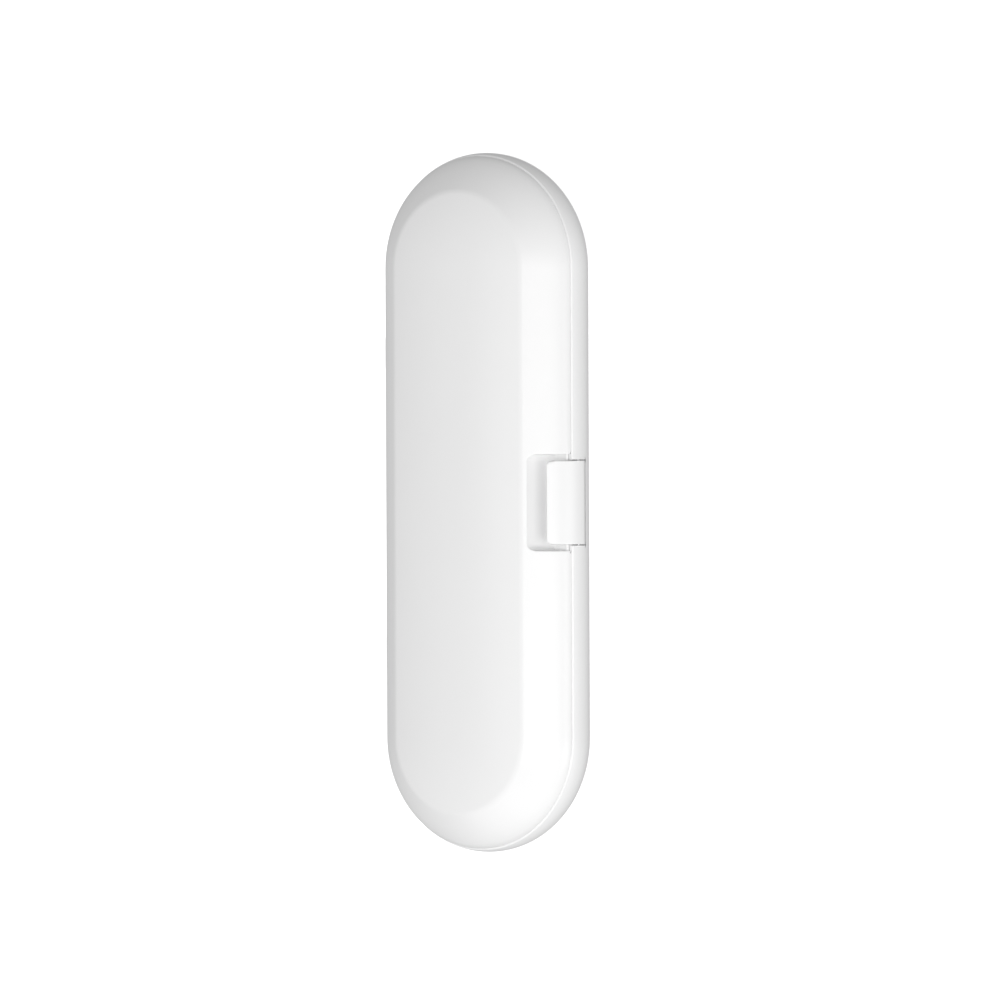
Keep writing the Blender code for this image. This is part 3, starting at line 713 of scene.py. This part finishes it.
def catch_outline():
    """The bead that hooks over the scoop's floor and holds the lid down."""
    inside = side(CLASP_PLATE - CLASP_PROUD)
    low = SHELF + PIN_CLEAR
    high, face = low + CATCH_HEIGHT, radius_at(inside, low)
    deep = CLASP_PLATE / 2
    return [Vector((face + deep, low)), Vector((radius_at(inside, high) + deep, high)),
            Vector((radius_at(inside, high), high)), Vector((face - CATCH_REACH, low + CATCH_HEIGHT / 2)),
            Vector((face - CATCH_REACH, low))]


print("clasp outline points:", len(clasp_outline()))

# %% [markdown]
# ## The clasp's corners, bead and bore
# The plate's two free corners are rounded like a fingernail, and its edges are eased by the same
# helper that softens the shells. The bead is joined on afterwards, so that it stays crisp and holds.

# %% Make the clasp
clasp = extrude("clasp_moulding", clasp_outline(), CLASP_LENGTH)
tip_low = PARTING + CLASP_REACH - CLASP_PLATE


def is_tip_corner(points):
    """Whether an edge runs through the plate at a corner of its free end."""
    a, b = points
    return abs(a.y - b.y) < WELD and min(a.z, b.z) > tip_low and (a - b).length > CLASP_PLATE / 2


choose(clasp, "EDGE", is_tip_corner)
bpy.ops.mesh.bevel(offset=CLASP_CORNER, segments=CLASP_CORNER_STEPS, profile=0.5, affect="EDGES")
bpy.ops.object.mode_set(mode="OBJECT")
soften(clasp, CLASP_ROUND)
combine(clasp, extrude("clasp_catch", catch_outline(), CLASP_LENGTH - 2 * CATCH_END), "UNION")
bore = rod("clasp_bore", CLASP_PIN + PIN_CLEAR, CLASP_LENGTH + BEYOND, (PIVOT_X, 0, PIVOT_Z))
combine(clasp, bore)
print("clasp faces:", len(clasp.data.polygons))

# %% [markdown]
# ## The base insert
# The insert is a moulded tray: a flat deck with a long round-bottomed trough for the handle and a
# narrower slot on each side for a brush head. The troughs are turned like the shells, joined to the
# deck and then hollowed, and the lips get a soft rounding so that nothing scratches. Each trough
# could be a Solidify shell, but walls joined first and then hollowed meet the deck without a gap.

# %% Set the tray's sizes
LINER = 1.1 * MM
ARCH_GAP = 0.5 * MM
DECK_DROP = 0.5 * MM
LIP_ROUND = 0.5 * MM
TROUGH_END = 14.6 * MM
SLOT_LAND = 2.2 * MM
SLOT_LIFT = 3.2 * MM
SLOT_REACH = 46 * MM
TROUGH_STEPS = 36
BOWL_STEPS = 18
deck_top = PARTING - DECK_DROP
trough_radius = DEPTH / 2 - WALL - LINER - (CLEAR + ARCH_GAP) / 2
trough_z = WALL + CLEAR + LINER + trough_radius
trough_half = HALF_LENGTH - TROUGH_END - trough_radius
slot_x = (trough_radius + LINER + latch_boss_x - CLEAR) / 2
slot_radius = slot_x - trough_radius - 2 * LINER - SLOT_LAND
slot_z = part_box("tray_insert")[0].z + slot_radius + LINER + SLOT_LIFT
slot_half = SLOT_REACH - slot_radius
print("trough and slot radius in mm:", round(trough_radius / MM, 2), round(slot_radius / MM, 2))

# %% [markdown]
# ## Plates, troughs and eased lips
# Three helpers give all the forms of both inserts: a plate in the shape of the case, a trough that
# is turned like the shells, and a Bevel modifier that rounds only what is really an edge.

# %% Helpers for the inserts
REAL_EDGE = math.radians(50)


def deck(name, radius, low):
    """A flat plate of the liner's thickness in the shape of the case."""
    high = low + LINER
    section = [Vector((0, low)), Vector((radius, low)), Vector((radius, high)), Vector((0, high))]
    return turn(trace(name, section), HALF_STRAIGHT, END_STEPS, END_SHARE)


def trough(name, radius, z, half, x, top):
    """A round-bottomed trough with upright sides and ends like half a bowl."""
    section = [*arc((0, z), radius, -90, 0, BOWL_STEPS), Vector((radius, top)), Vector((0, top))]
    return turn(trace(name, section), half, TROUGH_STEPS, x=x)


def ease(piece, width, segments):
    """Round every real edge of a piece."""
    apply(piece, "BEVEL", width=width, segments=segments, limit_method="ANGLE", angle_limit=REAL_EDGE)


print("edges over", round(math.degrees(REAL_EDGE)), "degrees are eased")

# %% [markdown]
# ## The tray
# The three troughs' walls are joined to the deck, then their spaces are cut through everything. Last
# come the notches that let the deck pass the bosses, because a snug tray would foul them.

# %% Make the tray
spaces = [(trough_radius, trough_z, trough_half, 0)]
spaces += [(slot_radius, slot_z, slot_half, x) for x in (-slot_x, slot_x)]
tray = deck("tray_moulding", cavity_radius - CLEAR, deck_top - LINER)
for radius, z, half, x in spaces:
    combine(tray, trough("trough_wall", radius + LINER, z, half, x, deck_top - LINER / 2), "UNION")
for radius, z, half, x in spaces:
    combine(tray, trough("trough_space", radius, z, half, x, deck_top + BEYOND))
low = (latch_boss_x - CLEAR, -latch_boss_half - CLEAR, deck_top - BEYOND)
combine(tray, box("latch_notch", low, (HALF_WIDTH + BEYOND, latch_boss_half + CLEAR, deck_top + BEYOND)))
for y in HINGE_STATIONS.values():
    half = hinge_boss_half + CLEAR
    low = (-HALF_WIDTH - BEYOND, y - half, deck_top - BEYOND)
    combine(tray, box("hinge_notch", low, (hinge_boss_x + CLEAR, y + half, deck_top + BEYOND)))
ease(tray, LIP_ROUND, 4)
print("tray faces:", len(tray.data.polygons))

# %% [markdown]
# ## The lid insert
# The lid has a matching plate with an arch over the handle. It is a little narrower than the base's
# lip, because on the hinge side it swings past that lip when the lid opens. Wall and space are again
# two turned forms, one added and one cut, so the arch has the trough's own curve.

# %% Make the lid insert
NOTCH_REACH = 1.4 * MM
deck_low = LID_RIM + DECK_DROP
insert_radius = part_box("lid_insert")[1].x
insert = deck("lid_insert_moulding", insert_radius, deck_low)
for name, radius, low, operation in (
    ("arch_wall", trough_radius + LINER, deck_low + LINER / 2, "UNION"),
    ("arch_space", trough_radius, deck_low - BEYOND, "DIFFERENCE"),
):
    first = math.degrees(math.asin((low - trough_z) / radius))
    section = [Vector((0, low)), *arc((0, trough_z), radius, first, 90, BOWL_STEPS)]
    combine(insert, turn(trace(name, section), trough_half, TROUGH_STEPS), operation)
half = SCOOP_LENGTH / 2 + WALL + CLEAR
low = (head.x - WALL - NOTCH_REACH, -half, deck_low - BEYOND)
combine(insert, box("scoop_notch", low, (outside, half, deck_low + LINER + BEYOND)))
ease(insert, LINER / 3, 3)
print("lid insert faces:", len(insert.data.polygons))

# %% [markdown]
# ## The soft rests
# Four soft rubber rests are pressed through windows in the inserts, two under the handle and two
# over it. Each follows the trough's curve and has ribs across it that grip. The ribs could be a bump
# in the material, but they show in outline, so each is a real bar joined on.

# %% Helpers for the rests
REST_WIDTH = 15.4 * MM
REST_LENGTH = 16 * MM
REST_STAND = 0.4 * MM
REST_STATION = 48 * MM
REST_ROUND = 0.3 * MM
RIB_COUNT = 5
RIB_RISE = 0.35 * MM
REST_STEPS = 14


def rest_outline(turn_angle):
    """A slice of the trough's wall that stands a little proud of it."""
    outside, inside = trough_radius + LINER, trough_radius - REST_STAND + RIB_RISE
    half = REST_WIDTH / 2 - CLEAR
    wide, narrow = (math.degrees(math.asin(half / r)) for r in (outside, inside))
    far = arc((0, trough_z), outside, turn_angle - wide, turn_angle + wide, REST_STEPS)
    return far + arc((0, trough_z), inside, turn_angle + narrow, turn_angle - narrow, REST_STEPS)


def make_rest(name, turn_angle, y):
    """One rest with ribs raised on its inner side."""
    length = REST_LENGTH - 2 * CLEAR
    piece = extrude(name, rest_outline(turn_angle), length, y)
    ease(piece, REST_ROUND, 3)
    inside = trough_radius - REST_STAND
    reach = math.degrees(math.asin((REST_WIDTH / 2 - 3 * CLEAR) / inside))
    pitch = length / RIB_COUNT
    for rib in range(RIB_COUNT):
        middle = y + (rib - (RIB_COUNT - 1) / 2) * pitch
        near = arc((0, trough_z), inside, turn_angle - reach, turn_angle + reach, REST_STEPS)
        far = inside + 2 * RIB_RISE
        deep = arc((0, trough_z), far, turn_angle + reach, turn_angle - reach, REST_STEPS)
        bar = extrude("rib", near + deep, pitch / 2, middle)
        ease(bar, REST_ROUND / 2, 2)
        combine(piece, bar, "UNION")
    return piece


print("rib pitch in mm:", round((REST_LENGTH - 2 * CLEAR) / RIB_COUNT / MM, 2))

# %% [markdown]
# ## Windows and rests
# Each window is cut to the rest's full width and length, and the rest itself is smaller by a
# clearance all round, so it drops in. The same function makes all four, two of them upside down.

# %% Cut the windows and make the rests
rests = {}
for y, place in ((REST_STATION, "upper"), (-REST_STATION, "lower")):
    half = REST_LENGTH / 2
    window = box("window", (-REST_WIDTH / 2, y - half, 0), (REST_WIDTH / 2, y + half, trough_z / 2))
    combine(tray, window)
    window = box("window", (-REST_WIDTH / 2, y - half, 1.5 * trough_z), (REST_WIDTH / 2, y + half, DEPTH))
    combine(insert, window)
    rests["handle_rest_" + place] = make_rest("handle_rest_rubber_" + place, -90, y)
    rests["lid_rest_" + place] = make_rest("lid_rest_rubber_" + place, 90, y)
print("rests:", sorted(rests))

# %% [markdown]
# ## The pins
# The hinge pins and the clasp's pin are cut from drawn stainless wire, with their ends broken so
# that they slide in. A cylinder with a narrow bevel is all that they need.

# %% Make the pins
PIN_ROUND = 0.18 * MM
PIN_SIDES = 32
pins = {}
for place, y in HINGE_STATIONS.items():
    name = "hinge_pin_" + place
    pins[name] = rod(name + "_wire", HINGE_PIN, hinge_length, hinge_point(y), PIN_ROUND, PIN_SIDES)
length = SCOOP_LENGTH + 2 * (PIN_SEAT - CLEAR)
pins["latch_pin"] = rod("latch_pin_wire", CLASP_PIN, length, (PIVOT_X, 0, PIVOT_Z), PIN_ROUND, PIN_SIDES)
print("pins:", sorted(pins))

# %% [markdown]
# ## Soft edges at the scoop
# A mould can't make a truly sharp edge, and a finger wouldn't like one. The edges that the cutters
# left round the scoop and the clasp's pocket are rounded. First, rings are cut close to both sides
# of their corners: along the straight side the faces are very long, and without a ring a corner's
# shading would run along all of one and look like a dark line.

# %% Soften the edges round the clasp
SCOOP_ROUND = 0.2 * MM
POCKET_ROUND = 0.15 * MM
for beside in (-SCOOP_CORNER - CLEAR, MM):
    ring(lid, SCOOP_LENGTH / 2 + beside)
for beside in (-MM, MM):
    ring(rear, CLASP_LENGTH / 2 + CLEAR + beside)
soften(lid, SCOOP_ROUND)
soften(rear, POCKET_ROUND)
print("rear and lid faces:", len(rear.data.polygons), len(lid.data.polygons))

# %% [markdown]
# ## Smooth shading
# Faces that meet at a shallow angle are shaded as one smooth surface, and real edges stay crisp.
# Weighted normals then let the large faces lead, so that a narrow rounding doesn't bend the light
# on the flat beside it.

# %% Shade every piece
SMOOTH_ANGLE = math.radians(30)
stands_for = {rear: "rear_shell", lid: "lid_shell", clasp: "latch_clasp", tray: "tray_insert",
              insert: "lid_insert"}
stands_for.update({piece: node for node, piece in {**rests, **pins}.items()})
for piece in stands_for:
    pick(piece)
    bpy.ops.object.shade_smooth_by_angle(angle=SMOOTH_ANGLE)
    apply(piece, "WEIGHTED_NORMAL", keep_sharp=True)
print("pieces:", len(stands_for))

# %% [markdown]
# ## Materials
# One function adds a node to a material with its settings and links. Colours are written as sRGB
# hex values, as a designer quotes them, and turned to the linear values that Blender works in.

# %% Helpers for colours and nodes


def linear(colour):
    """An sRGB hex colour as linear red, green, blue and alpha."""
    parts = [int(colour[i : i + 2], 16) / 255 for i in (1, 3, 5)]
    return (*[c / 12.92 if c <= 0.04045 else ((c + 0.055) / 1.055) ** 2.4 for c in parts], 1)


def add(tree, kind, settings=(), inputs=()):
    """Add a node, set its settings, and give each input a value or link it to another's output."""
    node = tree.nodes.new("ShaderNode" + kind)
    for name, value in dict(settings).items():
        setattr(node, name, value)
    for name, value in dict(inputs).items():
        if isinstance(value, bpy.types.NodeSocket):
            tree.links.new(value, node.inputs[name])
        else:
            node.inputs[name].default_value = value
    return node


def new_material(name):
    """A material with an empty node tree and a Principled shader on its output."""
    material = bpy.data.materials.new(name)
    material.use_nodes = True
    tree = material.node_tree
    tree.nodes.clear()
    shader = add(tree, "BsdfPrincipled")
    add(tree, "OutputMaterial", inputs={"Surface": shader.outputs[0]})
    return material, tree, shader


print("mid grey #808080 is", round(linear("#808080")[0], 3), "in linear light")

# %% [markdown]
# ## A moulded surface
# Plastic that has flowed into a mould shows two things: long faint marks in its colour, and the
# skin of the tool in its gloss and relief. One noise gives each. The relief could be modelled, but
# it is far too fine for that, so a bump carries it.

# %% A helper for moulded surfaces
EDGE_SOFTNESS = 0.06 * MM
PLASTIC_IOR = 1.49
FLOW_LENGTH = 22 * MM
NOISE_LOW, NOISE_HIGH = 0.3, 0.7


def moulded(name, light, shade, gloss, grain, depth):
    """A moulded plastic or rubber: flow marks in the colour, fine skin in gloss and relief."""
    material, tree, shader = new_material(name)
    place = add(tree, "TexCoord").outputs["Object"]
    cloud = add(tree, "TexNoise", inputs={"Vector": place, "Scale": 1 / FLOW_LENGTH, "Detail": 2.0})
    skin = add(tree, "TexNoise", inputs={"Vector": place, "Scale": 1 / grain, "Detail": 3.0})
    colour = add(tree, "MixRGB", inputs={"Fac": cloud.outputs["Fac"], "Color1": linear(shade),
                                         "Color2": linear(light)})
    rough = add(tree, "MapRange", inputs={"Value": skin.outputs["Fac"], "From Min": NOISE_LOW,
                                          "From Max": NOISE_HIGH, "To Min": gloss[0], "To Max": gloss[1]})
    # The Bevel node rounds only how an edge catches light. The mesh stays as it is.
    soft = add(tree, "Bevel", {"samples": 6}, {"Radius": EDGE_SOFTNESS})
    bump = add(tree, "Bump", inputs={"Strength": 1.0, "Distance": depth, "Height": skin.outputs["Fac"],
                                     "Normal": soft.outputs[0]})
    for socket, source in (("Base Color", colour), ("Roughness", rough), ("Normal", bump)):
        tree.links.new(source.outputs[0], shader.inputs[socket])
    shader.inputs["IOR"].default_value = PLASTIC_IOR
    return material


print("index of refraction of the plastics:", PLASTIC_IOR)

# %% [markdown]
# ## Plastic and rubber
# The shells are polypropylene, moulded in a polished tool. The inserts come from a spark-eroded
# tool, and the rests are a soft rubber. A picture could be laid on each, but noise in real
# millimetres stays sharp from any distance. The grain of the inserts is finer than the picture can
# show, so it is drawn coarser here.

# %% Make the plastics and the rubber
# A polished tool gives a clean white, a soft gloss and a faint ripple in the reflections.
white_polypropylene = moulded(
    "white_polypropylene_polished_mould", "#F3F3F3", "#F1F1F1", (0.30, 0.35),
    grain=2.2 * MM, depth=0.0004 * MM,
)
# An eroded tool leaves a matt skin that looks softer and a little greyer.
insert_plastic = moulded(
    "white_polypropylene_eroded_mould", "#E9E9E8", "#E4E4E3", (0.50, 0.62),
    grain=0.35 * MM, depth=0.05 * MM,
)
# Rubber takes up light and shows hardly any highlight.
soft_rubber = moulded(
    "grey_soft_rubber_moulded", "#8C8F92", "#85888B", (0.62, 0.75), grain=0.5 * MM, depth=0.03 * MM
)
print("moulded:", [material.name for material in (white_polypropylene, insert_plastic, soft_rubber)])

# %% [markdown]
# ## Drawn wire
# The pins are stainless wire, pulled through a die that leaves scratches along it. Anisotropy could
# stretch the highlights, but noise that is stretched along the pin shows the scratches too. They are
# finer than the picture can show, and are drawn coarser.

# %% Make the steel and give each piece its finish
SCRATCH_WIDTH = 0.08 * MM
SCRATCH_DEPTH = 0.004 * MM
SCRATCH_STRETCH = 0.02


def drawn_steel():
    """Drawn wire: fine scratches run along the pin and stretch its highlights."""
    material, tree, shader = new_material("stainless_steel_drawn")
    place = add(tree, "TexCoord").outputs["Object"]
    along = add(tree, "Mapping", inputs={"Vector": place, "Scale": (1, SCRATCH_STRETCH, 1)})
    lines = add(tree, "TexNoise", inputs={"Vector": along.outputs[0], "Scale": 1 / SCRATCH_WIDTH})
    rough = add(tree, "MapRange", inputs={"Value": lines.outputs["Fac"], "To Min": 0.2, "To Max": 0.42})
    bump = add(tree, "Bump", inputs={"Distance": SCRATCH_DEPTH, "Height": lines.outputs["Fac"]})
    tree.links.new(rough.outputs[0], shader.inputs["Roughness"])
    tree.links.new(bump.outputs[0], shader.inputs["Normal"])
    shader.inputs["Base Color"].default_value = linear("#C9CACC")
    shader.inputs["Metallic"].default_value = 1
    return material


finishes = {
    "shell_plastic": (white_polypropylene, [rear, lid, clasp]),
    "insert_plastic": (insert_plastic, [tray, insert]),
    "soft_rest": (soft_rubber, list(rests.values())),
    "pin_steel": (drawn_steel(), list(pins.values())),
}
for slot, (material, pieces) in finishes.items():
    for piece in pieces:
        piece.data.materials.clear()
        piece.data.materials.append(material)
print("finishes:", list(finishes))

# %% [markdown]
# ## Set each piece on its body
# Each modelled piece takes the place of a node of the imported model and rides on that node's body,
# so it moves with the lid or the clasp.

# %% Set the pieces on their bodies
bodies = frame["record"]["behaviour"]["bodies"]
for piece, node in stands_for.items():
    body = next(name for name, nodes in bodies.items() if node in nodes)
    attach(piece, body)
    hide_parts(node)
    print(piece.name, "rides on", body)

# %% [markdown]
# ## The table
# The case lies on a white table that glows a little, so that it stays white to its far edge. It
# throws nothing back at the case: the lights alone shape it.

# %% Lay the table
TABLE_SIZE = 3.0
TABLE_DROP = 0.05 * MM
TABLE_GLOW = 0.55
bpy.ops.object.select_all(action="DESELECT")
bpy.ops.mesh.primitive_plane_add(size=TABLE_SIZE, location=(0, 0, -TABLE_DROP))
table = bpy.context.object
table.name = "studio_table"
paint, tree, shader = new_material("white_table_paint")
shader.inputs["Base Color"].default_value = linear("#FFFFFF")
shader.inputs["Roughness"].default_value = 0.9
shader.inputs["Specular IOR Level"].default_value = 0
shader.inputs["Emission Color"].default_value = (1, 1, 1, 1)
shader.inputs["Emission Strength"].default_value = TABLE_GLOW
table.data.materials.append(paint)
table.visible_diffuse = False
table.visible_glossy = False
table.visible_shadow = False
print("table in metres:", TABLE_SIZE)

# %% [markdown]
# ## The light
# Two large soft boxes on the clasp side model the curved sides, one low and one high. Two weaker
# ones light the lower end, a small one on the hinge side adds gloss, and a white world fills the
# shadows. One big light would be simpler, but the scoop and the seam would go flat.

# %% Set the lights
LIGHT_DISTANCE = 1.2
STUDIO_GLOW = 0.451
# Each light's name, its width in metres, its degrees round from +X and up, and its watts.
LIGHTS = (
    ("low_key_light", 0.7, -15, 12, 4.35),
    ("high_key_light", 0.7, -15, 60, 4.61),
    ("end_light", 0.7, -75, 35, 1.45),
    ("far_end_light", 0.7, -110, 35, 1.47),
    ("gloss_light", 0.3, 180, 66, 0.54),
)


def soft_light(name, size, turned, raised, power):
    """A square soft box that looks at the case, turned round from +X and raised above the table."""
    a, e = math.radians(turned), math.radians(raised)
    place = Vector((math.cos(a) * math.cos(e), math.sin(a) * math.cos(e), math.sin(e))) * LIGHT_DISTANCE
    bpy.ops.object.light_add(type="AREA", location=place)
    light = bpy.context.object
    light.name = name
    light.rotation_euler = place.to_track_quat("Z", "Y").to_euler()
    light.data.size = size
    light.data.energy = power


for settings in LIGHTS:
    soft_light(*settings)
world = bpy.data.worlds.new("white_studio")
bpy.context.scene.world = world
world.use_nodes = True
background = world.node_tree.nodes["Background"]
background.inputs["Color"].default_value = (1, 1, 1, 1)
background.inputs["Strength"].default_value = STUDIO_GLOW
bpy.context.scene.view_settings.view_transform = "Standard"
print("watts of soft light:", round(sum(light[-1] for light in LIGHTS), 2))
